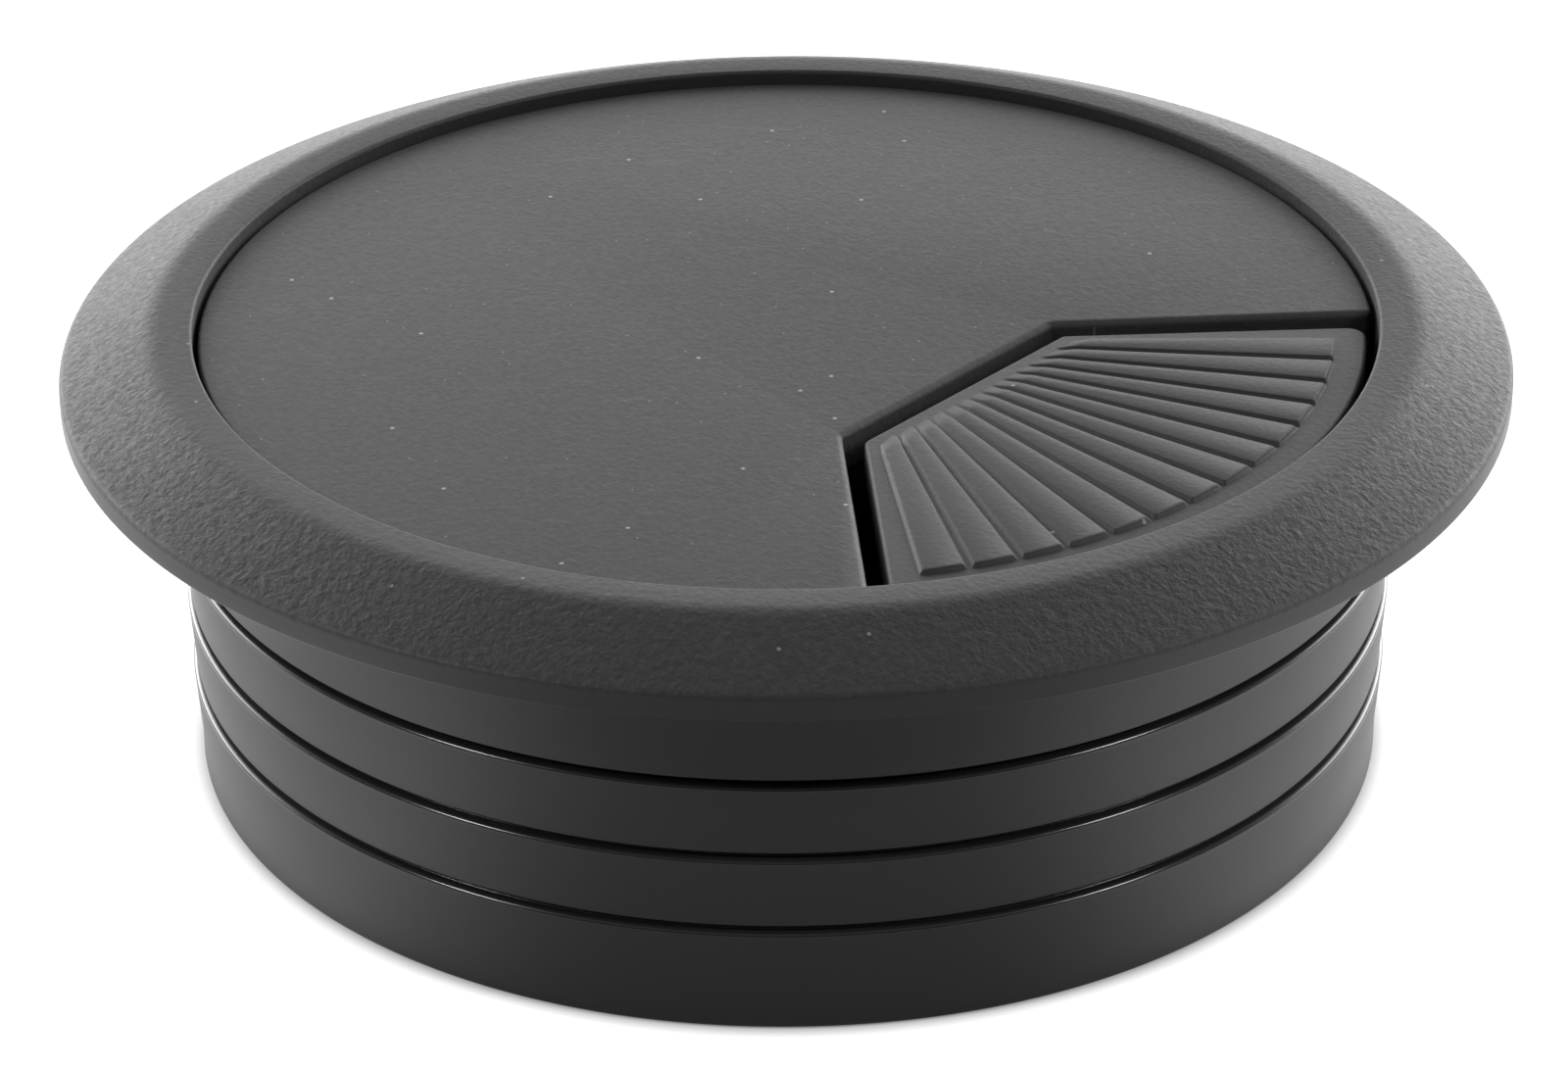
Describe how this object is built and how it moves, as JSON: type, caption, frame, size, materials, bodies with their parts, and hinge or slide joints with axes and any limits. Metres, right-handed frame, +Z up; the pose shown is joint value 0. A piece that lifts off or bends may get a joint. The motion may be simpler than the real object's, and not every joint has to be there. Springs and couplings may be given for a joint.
{
  "type": "desk grommet",
  "caption": "Round desk grommet: barbed liner with a sloped flange, a drop-in turning cap with a cable slot, and a ribbed sprung flap that closes the slot.",
  "frame": {"origin": "on the axis of the desk hole, level with the desk top, where the underside of the flange rests", "axes": "+Z up along the axis of the hole; +X towards the cable slot of the cap at rest; the flap hinge lies along Y"},
  "size_m": [0.0705, 0.0704, 0.0228],
  "materials": {
    "liner_black": "black moulded plastic, spark-grained flange over a smooth satin sleeve",
    "cap_black": "black moulded plastic, fine matte grain",
    "flap_black": "black moulded plastic, fine matte grain with raised ribs",
    "spring_steel": "drawn steel wire"
  },
  "bodies": {
    "liner": {"liner": "liner_black"},
    "cap": {"cap": "cap_black", "hinge_pin": "spring_steel", "flap_spring": "spring_steel"},
    "flap": {"flap": "flap_black"}
  },
  "joints": [
    {"name": "cap_turn", "type": "hinge", "parent": "liner", "child": "cap", "pos_m": [0, 0, 0], "axis": [0, 0, 1], "continuous": true},
    {"name": "flap_swing", "type": "hinge", "parent": "cap", "child": "flap", "pos_m": [0.0087, 0, -0.00092], "axis": [0, 1, 0], "range_deg": [0, 70], "stiffness_Nm_per_rad": 0.0094, "springref_deg": -22.92, "deforming": ["flap_spring"]}
  ]
}
